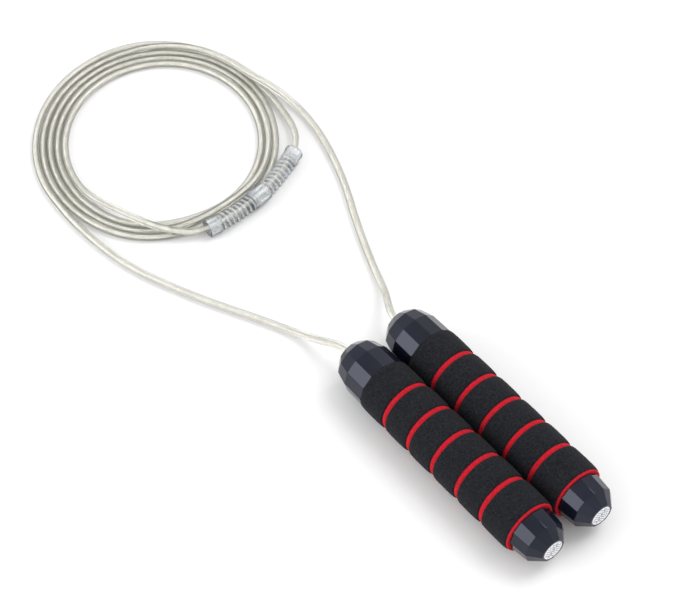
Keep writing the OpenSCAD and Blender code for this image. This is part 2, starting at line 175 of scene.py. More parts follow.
# Angles round the coil in degrees: where the outermost turn begins and ends, where the last
# turn climbs over it, where each inner turn steps one lane out, and where lanes crowd.
OUTER_FROM, OUTER_TO = 168, 5
CLIMB_FROM, CLIMB_SPAN = 75, 55
STEP_FROM, STEP_SPAN = -108, 42
CROWD_FROM = -2
# The inner turns begin on the left and are counted in degrees swept clockwise from there.
INNER_ZERO, INNER_FROM, INNER_TO = 180, 8, 3 * 360 + 168


def bump(angle, middle, width):
    """1 at the middle angle, fading out on both sides, for angles in degrees."""
    apart = (angle - middle + 180) % 360 - 180
    return math.exp(-(apart / width) ** 2)


def ease(t):
    """Goes from 0 to 1 with a soft start and end, and is held outside them."""
    t = min(1.0, max(0.0, t))
    return t * t * (3 - 2 * t)


def inner_edge(angle):
    """Radius of the coil's inner edge: near 60 mm, a little uneven as a hand-wound coil is."""
    a = math.radians(angle)
    wave = -1.4 * math.cos(a) - 0.9 * math.cos(2 * a) + 2 * math.sin(2 * a)
    return (60.6 + wave) * MM


def lane_width(angle):
    """Lanes crowd together beside the sleeves."""
    return LANE - 0.3 * MM * bump(angle, -25, 25) - 1.75 * MM * bump(angle, -92, 18)


def on_coil(angle, lane, z):
    r = inner_edge(angle) + ROPE_R + lane * lane_width(angle)
    a = math.radians(angle)
    return (COIL_CENTRE[0] + r * math.cos(a), COIL_CENTRE[1] + r * math.sin(a), z)


def riding_height(apart):
    """Height of a strand that rests on neighbours whose centres lie this far to its side."""
    return ROPE_R + math.sqrt(max(0.0, (0.98 * ROPE_D) ** 2 - apart ** 2))


def first_turn():
    """The outermost turn, which moves one lane inwards before it leaves to the right."""
    return [on_coil(angle, OUTER_LANE - ease((CLIMB_FROM - angle) / CLIMB_SPAN), ROPE_R)
            for angle in range(OUTER_FROM, OUTER_TO, -STEP_ANGLE)]


def inner_turns():
    """Three and a half turns from the innermost lane outwards."""
    points = []
    for swept in range(INNER_FROM, INNER_TO, STEP_ANGLE):
        angle = INNER_ZERO - swept
        turn = swept // 360
        local = angle + 360 * turn
        lane = turn + ease((STEP_FROM - local) / STEP_SPAN)
        z = ROPE_R
        if turn == 1 and local < CROWD_FROM:
            z = riding_height(lane_width(angle))
        if turn == 3:
            over = ease((CLIMB_FROM - local) / CLIMB_SPAN)
            lane -= 0.5 * over
            z = riding_height(lane_width(angle) * (1 - 0.5 * over))
        points.append(on_coil(angle, lane, z))
    return points


print("coil:", len(first_turn()), "+", len(inner_turns()), "points")

# %% One smooth centreline
RING_STEP = 1.5 * MM
FAIRING_PASSES = 12


def smooth_path(points, step, passes):
    """Catmull-Rom through the points, evenly spaced, then faired between its fixed ends."""
    p = np.array(points, float)
    p = np.vstack([2 * p[0] - p[1], p, 2 * p[-1] - p[-2]])
    fine = []
    for a, b, c, d in zip(p, p[1:], p[2:], p[3:]):
        knots = np.cumsum([0, *(np.linalg.norm(v) ** 0.5 for v in (b - a, c - b, d - c))])
        t = np.linspace(knots[1], knots[2], 24, endpoint=False)[:, None]

        def mix(u, v, low, high):
            return ((high - t) * u + (t - low) * v) / (high - low)

        ab, bc, cd = (mix(u, v, knots[i], knots[i + 1])
                      for i, (u, v) in enumerate(((a, b), (b, c), (c, d))))
        fine.append(mix(mix(ab, bc, knots[0], knots[2]), mix(bc, cd, knots[1], knots[3]),
                        knots[1], knots[2]))
    line = np.vstack([*fine, p[-2]])
    for _ in range(2):
        along = np.r_[0, np.cumsum(np.linalg.norm(np.diff(line, axis=0), axis=1))]
        even = np.linspace(0, along[-1], round(along[-1] / step) + 1)
        line = np.stack([np.interp(even, along, line[:, k]) for k in range(3)], axis=1)
        for _ in range(passes):
            line[1:-1] += 0.25 * (line[:-2] - 2 * line[1:-1] + line[2:])
    return line


def rope_centreline():
    route = []
    for side, tail in (("left", LEFT_TAIL), ("right", RIGHT_TAIL)):
        out = mouth(side)
        route.append([tuple(out), (out.x, out.y + EXIT_STRAIGHT, out.z), *tail])
    left, right = route
    points = [*left, *first_turn(), *LEAD_IN, *sleeve_cable, *CROSSING, *inner_turns()]
    return smooth_path([*points, *reversed(right)], RING_STEP, FAIRING_PASSES)


rope_line = rope_centreline()

# %% [markdown]
# ## Small helpers for node trees
# A shader group or a geometry tree is built in three steps: declare its sockets, place its
# nodes, and join them. These helpers keep each of those steps to one line.

# %% Node helpers
def feed(tree, socket, value):
    """Joins an input to another node's output, or sets its plain value."""
    if isinstance(value, bpy.types.NodeSocket):
        tree.links.new(value, socket)
    else:
        socket.default_value = value


def place(tree, kind, links=(), **settings):
    """Adds a node. Settings are its properties, and links join or set its inputs by name."""
    node = tree.nodes.new(kind)
    for name, value in settings.items():
        setattr(node, name, value)
    for name, value in dict(links).items():
        feed(tree, node.inputs[name], value)
    return node


def maths(tree, operation, a, b=0.5):
    return place(tree, "ShaderNodeMath", {0: a, 1: b}, operation=operation).outputs[0]


def ramp(tree, value, low, high, to_low=0.0, to_high=1.0):
    """Maps a value from one range to another, held at both ends."""
    node = place(tree, "ShaderNodeMapRange", {
        "Value": value, "From Min": low, "From Max": high, "To Min": to_low, "To Max": to_high})
    return node.outputs["Result"]


def colour_mix(tree, share, a, b):
    """Goes from colour a to colour b as share goes from 0 to 1."""
    node = place(tree, "ShaderNodeMix", {"Factor": share}, data_type="RGBA")
    for socket, value in ((node.inputs[6], a), (node.inputs[7], b)):
        feed(tree, socket, (*value, 1) if isinstance(value, tuple) else value)
    return node.outputs[2]


def new_tree(kind, name, inputs, outputs):
    """A node group with its sockets declared, what it is given, and what it has to fill."""
    tree = bpy.data.node_groups.new(name, kind)
    for label, socket_type, value in inputs:
        socket = tree.interface.new_socket(
            name=label, in_out="INPUT", socket_type="NodeSocket" + socket_type)
        if value is not None:
            socket.default_value = value
    for label, socket_type in outputs:
        tree.interface.new_socket(
            name=label, in_out="OUTPUT", socket_type="NodeSocket" + socket_type)
    given, result = tree.nodes.new("NodeGroupInput"), tree.nodes.new("NodeGroupOutput")
    return tree, given.outputs, result.inputs


def labels(tree, way):
    """The names of a group's sockets, for way INPUT or OUTPUT."""
    return ", ".join(item.name for item in tree.interface.items_tree if item.in_out == way)


def srgb(r, g, b):
    """A colour given as 0 to 255 screen values, as Blender's linear colour."""
    return tuple(((v / 255 + 0.055) / 1.055) ** 2.4 if v > 10 else v / 255 / 12.92
                 for v in (r, g, b))


print("helpers ready; mid grey is", round(srgb(128, 128, 128)[0], 3))

# %% [markdown]
# ## Effects that several finishes share
# Three effects come back on many surfaces, so each is a shader group that gives only masks
# and heights. *Grain* is the fine pitted skin of foam and moulded plastic. *Turned lines*
# are the fine rings that a lathe or a brush leaves. *Handling* is what use leaves: faint
# smudges and hair-thin scratches, seen as changes of gloss.

# %% Grain group
def make_grain():
    tree, given, result = new_tree("ShaderNodeTree", "grain", [
        ("Pits per metre", "Float", 2500.0), ("Cloud per metre", "Float", 90.0)],
        [("Height", "Float"), ("Cloud", "Float"), ("Pit mask", "Float")])
    where = place(tree, "ShaderNodeTexCoord").outputs["Object"]
    pits = place(tree, "ShaderNodeTexVoronoi", {
        "Vector": where, "Scale": given["Pits per metre"], "Randomness": 1.0})
    fine = place(tree, "ShaderNodeTexNoise", {
        "Vector": where, "Scale": given["Pits per metre"], "Detail": 4.0})
    cloud = place(tree, "ShaderNodeTexNoise", {
        "Vector": where, "Scale": given["Cloud per metre"], "Detail": 3.0})
    depth = ramp(tree, pits.outputs["Distance"], 0.05, 0.6)
    height = maths(tree, "ADD", maths(tree, "MULTIPLY", depth, 0.55),
                   maths(tree, "MULTIPLY", fine.outputs["Fac"], 0.45))
    tree.links.new(height, result["Height"])
    tree.links.new(ramp(tree, cloud.outputs["Fac"], 0.3, 0.7), result["Cloud"])
    tree.links.new(ramp(tree, height, 0.3, 0.62), result["Pit mask"])
    return tree


GRAIN = make_grain()
print("grain gives", labels(GRAIN, "OUTPUT"))

# %% Turned-lines group
def make_turned_lines():
    tree, given, result = new_tree("ShaderNodeTree", "turned lines", [
        ("Across", "Float", 0.0), ("Lines per metre", "Float", 9000.0)],
        [("Height", "Float"), ("Streak", "Float")])
    scaled = maths(tree, "MULTIPLY", given["Across"], given["Lines per metre"])
    streaks = [place(tree, "ShaderNodeTexNoise", {
        "W": maths(tree, "MULTIPLY", scaled, share), "Scale": 1.0, "Detail": detail},
        noise_dimensions="1D").outputs["Fac"] for share, detail in ((1.0, 2.0), (0.13, 3.0))]
    tree.links.new(streaks[0], result["Height"])
    tree.links.new(ramp(tree, streaks[1], 0.35, 0.65), result["Streak"])
    return tree


TURNED = make_turned_lines()
print("turned lines give", labels(TURNED, "OUTPUT"))

# %% Handling group
def make_handling():
    tree, given, result = new_tree("ShaderNodeTree", "handling", [
        ("Smudges per metre", "Float", 70.0), ("Scratches per metre", "Float", 160.0)],
        [("Smudge", "Float"), ("Scratch", "Float")])
    where = place(tree, "ShaderNodeTexCoord").outputs["Object"]
    smudge = place(tree, "ShaderNodeTexNoise", {
        "Vector": where, "Scale": given["Smudges per metre"], "Detail": 5.0,
        "Roughness": 0.65})
    warp = place(tree, "ShaderNodeVectorMath", {0: where, 1: (1.0, 0.22, 1.0)},
                 operation="MULTIPLY").outputs[0]
    lines = place(tree, "ShaderNodeTexVoronoi", {
        "Vector": warp, "Scale": given["Scratches per metre"]},
        feature="DISTANCE_TO_EDGE")
    hair = ramp(tree, lines.outputs["Distance"], 0.0, 0.012, 1.0, 0.0)
    tree.links.new(ramp(tree, smudge.outputs["Fac"], 0.42, 0.68), result["Smudge"])
    tree.links.new(maths(tree, "MULTIPLY", hair, ramp(tree, smudge.outputs["Fac"], 0.5, 0.6)),
                   result["Scratch"])
    return tree


HANDLING = make_handling()
print("handling gives", labels(HANDLING, "OUTPUT"))

# %% Helpers that start a finish
def new_finish(name, **shader):
    """A material with one Principled shader whose plain values are set on its own sockets."""
    material = bpy.data.materials.new(name)
    material.use_nodes = True
    tree = material.node_tree
    principled = tree.nodes["Principled BSDF"]
    for label, value in shader.items():
        socket = principled.inputs[label.replace("_", " ")]
        socket.default_value = (*value, 1) if isinstance(value, tuple) else value
    return material, tree, principled


def effect(tree, group, **values):
    """Places a shared effect in a material, with that material's own values."""
    node = tree.nodes.new("ShaderNodeGroup")
    node.node_tree = group
    for label, value in values.items():
        feed(tree, node.inputs[label.replace("_", " ")], value)
    return node.outputs


def raise_by(tree, principled, height, distance, strength=1.0):
    """Feeds a height into the shader's normal, as a bump of this real depth."""
    node = place(tree, "ShaderNodeBump", {
        "Height": height, "Distance": distance, "Strength": strength})
    tree.links.new(node.outputs["Normal"], principled.inputs["Normal"])


def painted_rim_shade(tree, start, end):
    """Painted rim shade: 0 where a clear wall faces the eye, rising to 1 where it turns away from
    it.
    """
    facing = place(tree, "ShaderNodeLayerWeight", {"Blend": 0.5}).outputs["Facing"]
    return ramp(tree, facing, start, end)


def object_axis(tree, axis):
    """One of the surface's own coordinates, X, Y or Z."""
    where = place(tree, "ShaderNodeTexCoord").outputs["Object"]
    return place(tree, "ShaderNodeSeparateXYZ", {0: where}).outputs[axis]


print("a finish may use", ", ".join(tree.name for tree in (GRAIN, TURNED, HANDLING)))

# %% [markdown]
# ## The cable's two finishes
# The coating is clear, slightly milky PVC, so it is a glass-like shader with a warm tint.
# The strand inside it is bright drawn wire. Seen through the round coating it looks nearly
# as wide as the cable. A thin dark line along each side, where the coating turns away, is
# painted shade.

# %% Coating and wire
def coating_finish():
    material, tree, shader = new_finish(
        "clear rope coating", IOR=1.42, Transmission_Weight=1.0,
        Base_Color=srgb(247, 246, 238))
    handled = effect(tree, HANDLING, Smudges_per_metre=60.0, Scratches_per_metre=120.0)
    tree.links.new(ramp(tree, handled["Smudge"], 0, 1, 0.04, 0.12), shader.inputs["Roughness"])
    tint = colour_mix(tree, handled["Smudge"], srgb(253, 253, 249), srgb(248, 247, 241))
    # Painted shade: the coating's colour darkens to grey where it turns away from the eye.
    tree.links.new(colour_mix(tree, painted_rim_shade(tree, 0.45, 0.9), tint, srgb(104, 103, 96)),
                   shader.inputs["Base Color"])
    return material


def wire_finish():
    material, tree, shader = new_finish("drawn steel wire", Metallic=0.8)
    handled = effect(tree, HANDLING, Smudges_per_metre=250.0)
    shade = colour_mix(tree, handled["Smudge"], srgb(246, 245, 240), srgb(234, 232, 224))
    tree.links.new(shade, shader.inputs["Base Color"])
    tree.links.new(ramp(tree, handled["Smudge"], 0, 1, 0.3, 0.42), shader.inputs["Roughness"])
    return material


COATING, WIRE = coating_finish(), wire_finish()
print("cable finishes:", COATING.name, "and", WIRE.name)

# %% [markdown]
# ## Growing pieces along a path
# A cable is a circle swept along a line, and a strand is several such sweeps that wind
# around the line. Geometry Nodes do both from one curve, and keep the wind, the number of
# wires and the pitch as named numbers. The helper below runs a tree on a curve and turns
# the result into a plain mesh, which is what rides, exports and bakes well.

# %% Curve and tree helpers
GEOMETRY = ("Geometry", "Geometry", None)


def add_curve(name, lines, closed=False):
    """One curve object with a spline through each line of points."""
    curve = bpy.data.curves.new(name, "CURVE")
    curve.dimensions = "3D"
    for line in lines:
        spline = curve.splines.new("POLY")
        spline.points.add(len(line) - 1)
        spline.points.foreach_set("co", np.c_[line, np.ones(len(line))].ravel())
        spline.use_cyclic_u = closed
    return add_object(name, curve)


def grow(source, tree, name, **values):
    """Runs a geometry tree on source and gives its result as a plain mesh object."""
    modifier = source.modifiers.new(tree.name, "NODES")
    modifier.node_group = tree
    for item in tree.interface.items_tree:
        label = item.name.replace(" ", "_")
        if item.in_out == "INPUT" and label in values:
            modifier[item.identifier] = values[label]
    view = bpy.context.evaluated_depsgraph_get()
    mesh = bpy.data.meshes.new_from_object(
        source.evaluated_get(view), preserve_all_data_layers=True, depsgraph=view)
    source.modifiers.remove(modifier)
    bpy.data.objects.remove(source)
    mesh.name = name
    print(name, "has", len(mesh.polygons), "faces")
    return add_object(name, mesh)


def finish_tree(tree, result, geometry, material):
    """Ends a geometry tree: real points, smooth shading, one finish."""
    real = place(tree, "GeometryNodeRealizeInstances", {0: geometry}).outputs[0]
    smooth = place(tree, "GeometryNodeSetShadeSmooth", {"Geometry": real}).outputs[0]
    done = place(tree, "GeometryNodeSetMaterial", {"Geometry": smooth, "Material": material})
    tree.links.new(done.outputs[0], result["Geometry"])


def sweep(tree, curve, radius, sides):
    """A solid round bar along a curve, with closed ends."""
    circle = place(tree, "GeometryNodeCurvePrimitiveCircle", {
        "Radius": radius, "Resolution": sides}).outputs["Curve"]
    return place(tree, "GeometryNodeCurveToMesh", {
        "Curve": curve, "Profile Curve": circle, "Fill Caps": True}).outputs[0]


print("the cable's line has", len(rope_line), "points to grow along")

# %% The coating tree
def make_sweep_tree():
    tree, given, result = new_tree("GeometryNodeTree", "round sweep", [
        GEOMETRY, ("Radius", "Float", 0.002), ("Sides", "Int", 16),
        ("Finish", "Material", None)], [("Geometry", "Geometry")])
    tube = sweep(tree, given["Geometry"], given["Radius"],
                 given["Sides"])
    finish_tree(tree, result, tube, given["Finish"])
    return tree


SWEEP = make_sweep_tree()
rope = grow(add_curve("rope_line", [rope_line]), SWEEP, "rope", Radius=ROPE_R, Sides=16,
            Finish=COATING)

# %% The strand tree
STRAND_D, LAY_LENGTH = 2.0 * MM, 13 * MM
WIRES_ACROSS = 3


def wound(tree, curve, radius, turns_angle):
    """Moves a curve's points round their own line, by an angle that changes along it."""
    normal = place(tree, "GeometryNodeInputNormal").outputs["Normal"]
    along = place(tree, "GeometryNodeInputTangent").outputs["Tangent"]
    side = place(tree, "ShaderNodeVectorMath", {0: along, 1: normal},
                 operation="CROSS_PRODUCT").outputs[0]
    parts = [place(tree, "ShaderNodeVectorMath", {
        0: direction, "Scale": maths(tree, "MULTIPLY", maths(tree, turn, turns_angle), radius)},
        operation="SCALE").outputs[0] for direction, turn in ((normal, "COSINE"), (side, "SINE"))]
    offset = place(tree, "ShaderNodeVectorMath", {0: parts[0], 1: parts[1]}).outputs[0]
    return place(tree, "GeometryNodeSetPosition", {
        "Geometry": curve, "Offset": offset}).outputs[0]


def make_strand_tree():
    tree, given, result = new_tree("GeometryNodeTree", "laid strand", [
        GEOMETRY, ("Wires", "Int", 6), ("Wire radius", "Float", 0.0004),
        ("Lay length", "Float", 0.02), ("Sides", "Int", 6), ("Finish", "Material", None)],
        [("Geometry", "Geometry")])
    wires = place(tree, "GeometryNodeDuplicateElements", {
        "Geometry": given["Geometry"], "Amount": given["Wires"]},
        domain="SPLINE")
    length = place(tree, "GeometryNodeSplineParameter").outputs["Length"]
    turns = maths(tree, "DIVIDE", length, given["Lay length"])
    share = maths(tree, "DIVIDE", wires.outputs["Duplicate Index"], given["Wires"])
    angle = maths(tree, "MULTIPLY", maths(tree, "ADD", turns, share), 2 * math.pi)
    lay_radius = maths(tree, "MULTIPLY", given["Wire radius"], 2.0)
    outer = wound(tree, wires.outputs["Geometry"], lay_radius, angle)
    join = tree.nodes.new("GeometryNodeJoinGeometry")
    for curve in (outer, given["Geometry"]):
        tree.links.new(sweep(tree, curve, given["Wire radius"], given["Sides"]),
                       join.inputs[0])
    finish_tree(tree, result, join.outputs[0], given["Finish"])
    return tree


STRAND = make_strand_tree()
strand = grow(add_curve("strand_line", [rope_line]), STRAND, "rope_strand_laid",
              Wire_radius=STRAND_D / WIRES_ACROSS / 2, Lay_length=LAY_LENGTH, Finish=WIRE)

# %% [markdown]
# ## Two wear sleeves
# Each sleeve is moulded in clear hard plastic: a round spiral between two collars, so that
# it bends with the cable and takes the wear where the rope strikes the ground. The lower
# one's nose ring plugs into the upper one's collar. The spiral is a curve wound round the
# arc of the cable, and each collar is a turned ring with rounded corners, set on that arc.

# %% Clear plastic finish
def clear_plastic_finish():
    material, tree, shader = new_finish(
        "clear sleeve plastic", IOR=1.45, Transmission_Weight=0.78,
        Base_Color=srgb(243, 248, 252))
    handled = effect(tree, HANDLING, Smudges_per_metre=220.0, Scratches_per_metre=500.0)
    rough = maths(tree, "ADD", ramp(tree, handled["Smudge"], 0, 1, 0.02, 0.09),
                  maths(tree, "MULTIPLY", handled["Scratch"], 0.3))
    tree.links.new(rough, shader.inputs["Roughness"])
    tint = colour_mix(tree, handled["Smudge"], srgb(250, 252, 254), srgb(240, 245, 249))
    # Painted shade: the sleeve plastic's colour darkens to near black where its walls turn away
    # from the eye.
    tree.links.new(colour_mix(tree, painted_rim_shade(tree, 0.42, 0.8), tint, srgb(44, 49, 57)),
                   shader.inputs["Base Color"])
    grain = effect(tree, GRAIN, Pits_per_metre=1500.0)
    raise_by(tree, shader, grain["Height"], 0.02 * MM, 0.3)
    return material


CLEAR = clear_plastic_finish()
print("sleeve finish:", CLEAR.name)

# %% The spiral tree
def make_spiral_tree():
    tree, given, result = new_tree("GeometryNodeTree", "moulded spiral", [
        GEOMETRY, ("Turns", "Float", 8.5), ("Winding radius", "Float", 0.005),
        ("Wire radius", "Float", 0.0007), ("Rings", "Int", 300), ("Sides", "Int", 10),
        ("Finish", "Material", None)], [("Geometry", "Geometry")])
    upright = place(tree, "GeometryNodeSetCurveNormal", {
        "Curve": given["Geometry"]}, mode="Z_UP").outputs[0]
    rings = place(tree, "GeometryNodeResampleCurve", {
        "Curve": upright, "Count": given["Rings"]}).outputs[0]
    factor = place(tree, "GeometryNodeSplineParameter").outputs["Factor"]
    angle = maths(tree, "MULTIPLY", maths(tree, "MULTIPLY", factor, given["Turns"]),
                  2 * math.pi)
    coil = wound(tree, rings, given["Winding radius"], angle)
    wire = sweep(tree, coil, given["Wire radius"], given["Sides"])
    finish_tree(tree, result, wire, given["Finish"])
    return tree


SPIRAL = make_spiral_tree()
SLEEVE_R, SLEEVE_BORE_R, SLEEVE_Z = 5.7 * MM, 3.5 * MM, 5.7 * MM
SPIRAL_WIRE_R, SPIRAL_TURNS, SPIRAL_LEN = 0.7 * MM, 8.5, 27.2 * MM
SPIRAL_SUNK = 0.25 * MM
LOWER_COLLAR, MIDDLE_COLLAR, UPPER_COLLAR = 7.5 * MM, 11 * MM, 8 * MM
MIDDLE_LOW = LOWER_COLLAR + SPIRAL_LEN
UPPER_LOW = MIDDLE_LOW + MIDDLE_COLLAR + SPIRAL_LEN
print("spiral:", SPIRAL_TURNS, "turns in", round(SPIRAL_LEN / MM, 1), "mm")

# %% A turned ring from its cross-section
def close_up(shape):
    """Merges doubled corners and turns every face outwards."""
    bmesh.ops.remove_doubles(shape, verts=shape.verts, dist=1e-7)
    bmesh.ops.recalc_face_normals(shape, faces=shape.faces)


def to_mesh(shape, name):
    """Ends work on a bmesh and gives it as a mesh."""
    mesh = bpy.data.meshes.new(name)
    shape.to_mesh(mesh)
    shape.free()
    return mesh


def turned(name, section, sides, closed=True):
    """Revolves [radius, height] corners round the upright axis, as a mesh with outward faces."""
    shape = bmesh.new()
    loops = []
    for i in range(sides):
        a = 2 * math.pi * i / sides
        loops.append([shape.verts.new((r * math.cos(a), r * math.sin(a), h))
                      for r, h in section])
    corners = len(section)
    for i in range(sides):
        here, there = loops[i], loops[(i + 1) % sides]
        for k in range(corners if closed else corners - 1):
            m = (k + 1) % corners
            shape.faces.new((here[k], there[k], there[m], here[m]))
    close_up(shape)
    return add_object(name, to_mesh(shape, name))


def rounded(corners, radius, steps=4):
    """A closed outline with each corner rounded, as [x, y] points in order."""
    out = []
    count = len(corners)
    for i in range(count):
        at, before, after = (np.array(corners[j % count], float) for j in (i, i - 1, i + 1))
        u, v = before - at, after - at
        reach = min(radius, 0.45 * np.linalg.norm(u), 0.45 * np.linalg.norm(v))
        start = at + u / np.linalg.norm(u) * reach
        end = at + v / np.linalg.norm(v) * reach
        for t in np.linspace(0, 1, steps + 1):
            out.append(tuple((1 - t) ** 2 * start + 2 * t * (1 - t) * at + t * t * end))
    return out


print("a rounded square has", len(rounded([(0, 0), (1, 0), (1, 1), (0, 1)], 0.1)), "corners")

# %% Collars on the arc
COLLAR_SIDES, COLLAR_EDGE, RING_EDGE = 48, 0.3 * MM, 0.25 * MM
RING_LEN, SPIGOT_LEN, SPIGOT_WALL, SLIP = 2 * MM, 2.5 * MM, 1.1 * MM, 0.05 * MM
OVERLAP = 1 * MM


def lay_on_arc(piece, s):
    """Turns an upright piece down onto the arc at length s, and keeps the place in its mesh."""
    here, there = Vector(arc_point(s, SLEEVE_Z)), Vector(arc_point(s + MM, SLEEVE_Z))
    turn = (there - here).to_track_quat("Z", "Y").to_matrix().to_4x4()
    turn.translation = here
    piece.data.transform(turn)
    return piece


def collar(low, high):
    """A plain collar: a rounded lip at each end and a shallow recess between them."""
    half = (high - low) / 2
    lip, dip = 1.6 * MM, 0.25 * MM
    section = [(SLEEVE_BORE_R, -half), (SLEEVE_R, -half), (SLEEVE_R, -half + lip),
               (SLEEVE_R - dip, -half + lip + dip), (SLEEVE_R - dip, half - lip - dip),
               (SLEEVE_R, half - lip), (SLEEVE_R, half), (SLEEVE_BORE_R, half)]
    ring = turned("collar", rounded(section, COLLAR_EDGE), COLLAR_SIDES)
    return lay_on_arc(ring, (low + high) / 2)


def nose_ring():
    """The lower sleeve's end ring and the spigot that enters the next collar."""
    spigot_r = SLEEVE_BORE_R + SPIGOT_WALL
    section = [(SLEEVE_BORE_R, -RING_LEN), (SLEEVE_R, -RING_LEN), (SLEEVE_R, -SLIP),
               (spigot_r, -SLIP), (spigot_r, SPIGOT_LEN), (SLEEVE_BORE_R, SPIGOT_LEN)]
    ring = turned("nose ring", rounded(section, RING_EDGE), COLLAR_SIDES)
    return lay_on_arc(ring, MIDDLE_LOW)


def socket_collar():
    """The upper sleeve's first collar, counterbored for the nose ring."""
    socket_r = SLEEVE_BORE_R + SPIGOT_WALL + SLIP
    deep = SPIGOT_LEN + 2 * SLIP
    section = [(socket_r, 0), (SLEEVE_R, 0), (SLEEVE_R, MIDDLE_COLLAR),
               (SLEEVE_BORE_R, MIDDLE_COLLAR), (SLEEVE_BORE_R, deep), (socket_r, deep)]
    ring = turned("socket collar", rounded(section, RING_EDGE), COLLAR_SIDES)
    return lay_on_arc(ring, MIDDLE_LOW)


def spiral(low, high):
    """One open spiral between two places along the arc."""
    line = [arc_point(s, SLEEVE_Z) for s in np.linspace(low, high, 60)]
    return grow(add_curve("spiral_line", [line]), SPIRAL, "spiral", Turns=SPIRAL_TURNS,
                Winding_radius=SLEEVE_R - SPIRAL_WIRE_R - SPIRAL_SUNK,
                Wire_radius=SPIRAL_WIRE_R, Finish=CLEAR)


print("collars in mm:", [round(v / MM, 1) for v in (LOWER_COLLAR, MIDDLE_COLLAR, UPPER_COLLAR)])

# %% Join each sleeve into one piece
def joined(name, pieces, material):
    """Several mesh objects as one object with one finish, shaded smooth."""
    shape = bmesh.new()
    for piece in pieces:
        shape.from_mesh(piece.data)
        bpy.data.objects.remove(piece)
    mesh = to_mesh(shape, name)
    mesh.materials.clear()
    mesh.materials.append(material)
    mesh.polygons.foreach_set("material_index", [0] * len(mesh.polygons))
    mesh.polygons.foreach_set("use_smooth", [True] * len(mesh.polygons))
    print(name, "has", len(mesh.polygons), "faces")
    return add_object(name, mesh)


lower_sleeve = joined("wear_sleeve_lower_moulded", [
    collar(0, LOWER_COLLAR), spiral(LOWER_COLLAR - OVERLAP, MIDDLE_LOW - OVERLAP),
    nose_ring()], CLEAR)
upper_sleeve = joined("wear_sleeve_upper_moulded", [
    socket_collar(), spiral(MIDDLE_LOW + MIDDLE_COLLAR - OVERLAP, UPPER_LOW + OVERLAP),
    collar(UPPER_LOW, SLEEVES_LEN)], CLEAR)
for piece, node in ((lower_sleeve, "wear_sleeve_lower"), (upper_sleeve, "wear_sleeve_upper")):
    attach(piece, "wear_sleeves")
    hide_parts(node)

for piece, slot in ((rope, "rope_coating"), (strand, "steel_strand")):
    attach(piece, "rope")
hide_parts("rope_coil", "rope_tail_left", "rope_tail_right", "rope_sleeve_run")

# %% [markdown]
# ## Finishes of the handles
# The grip is soft closed-cell foam in two colours: a red tube with a black skin over it,
# cut through in narrow grooves. It is dull and finely pitted. The caps are hard, glossy and
# slightly see-through, the colour of smoked glass. The metal parts are turned or ground.

# %% Foam
def foam_finish(name, base, pit_shade, cloud, depth):
    """Dull foam: a base colour that clouds into a second one, with pits this deep whose darker
    colour is painted shade.
    """
    material, tree, shader = new_finish(
        name, Sheen_Weight=0.02, Sheen_Roughness=0.6, Specular_IOR_Level=0.12)
    grain = effect(tree, GRAIN, Pits_per_metre=1500.0, Cloud_per_metre=700.0)
    body = colour_mix(tree, grain["Cloud"], base, cloud)
    # The pits take the darker colour: painted shade in the hollows of the grain.
    tree.links.new(colour_mix(tree, grain["Pit mask"], pit_shade, body), shader.inputs["Base Color"])
    tree.links.new(ramp(tree, grain["Cloud"], 0, 1, 0.86, 0.97), shader.inputs["Roughness"])
    raise_by(tree, shader, grain["Height"], depth, 0.8)
    return material


# The third colour of each foam is the painted shade in its pits.
BLACK_FOAM = foam_finish("black foam skin", srgb(19, 20, 24), srgb(3, 3, 4),
                         srgb(38, 39, 44), 0.3 * MM)
RED_FOAM = foam_finish("red foam", srgb(184, 20, 36), srgb(126, 8, 18),
                       srgb(200, 30, 46), 0.12 * MM)
print("foam:", BLACK_FOAM.name, "over", RED_FOAM.name)


# %% Smoked caps
def smoked_finish():
    material, tree, shader = new_finish(
        "smoked cap plastic", IOR=1.5, Specular_IOR_Level=0.37,
        Specular_Tint=(0.78, 0.84, 1.0))
    handled = effect(tree, HANDLING, Smudges_per_metre=90.0, Scratches_per_metre=260.0)
    grain = effect(tree, GRAIN, Pits_per_metre=700.0, Cloud_per_metre=45.0)
    body = colour_mix(tree, grain["Cloud"], srgb(14, 15, 26), srgb(25, 27, 40))
    tree.links.new(body, shader.inputs["Base Color"])
    rough = maths(tree, "ADD", ramp(tree, handled["Smudge"], 0, 1, 0.06, 0.16),
                  maths(tree, "MULTIPLY", handled["Scratch"], 0.25))
    tree.links.new(rough, shader.inputs["Roughness"])
    raise_by(tree, shader, grain["Cloud"], 0.05 * MM, 0.35)
    return material


SMOKED = smoked_finish()
print("cap finish:", SMOKED.name)

# %% Plain black plastic and metals
def black_plastic_finish():
    material, tree, shader = new_finish("black tube plastic", Roughness=0.45)
    grain = effect(tree, GRAIN, Pits_per_metre=1200.0, Cloud_per_metre=120.0)
    tone = colour_mix(tree, grain["Cloud"], srgb(30, 31, 35), srgb(42, 43, 48))
    tree.links.new(tone, shader.inputs["Base Color"])
    tree.links.new(ramp(tree, grain["Pit mask"], 0, 1, 0.36, 0.55), shader.inputs["Roughness"])
    raise_by(tree, shader, grain["Height"], 0.03 * MM, 0.5)
    return material


def metal_finish(name, light, dark, low, high, lines):
    """Turned metal: rings across the handle's axis, and dull spots where it was touched."""
    material, tree, shader = new_finish(name, Metallic=1.0)
    rings = effect(tree, TURNED, Across=object_axis(tree, "Y"), Lines_per_metre=lines)
    handled = effect(tree, HANDLING, Smudges_per_metre=500.0)
    tree.links.new(colour_mix(tree, rings["Streak"], dark, light), shader.inputs["Base Color"])
    tree.links.new(ramp(tree, handled["Smudge"], 0, 1, low, high), shader.inputs["Roughness"])
    raise_by(tree, shader, rings["Height"], 0.01 * MM, 0.4)
    return material


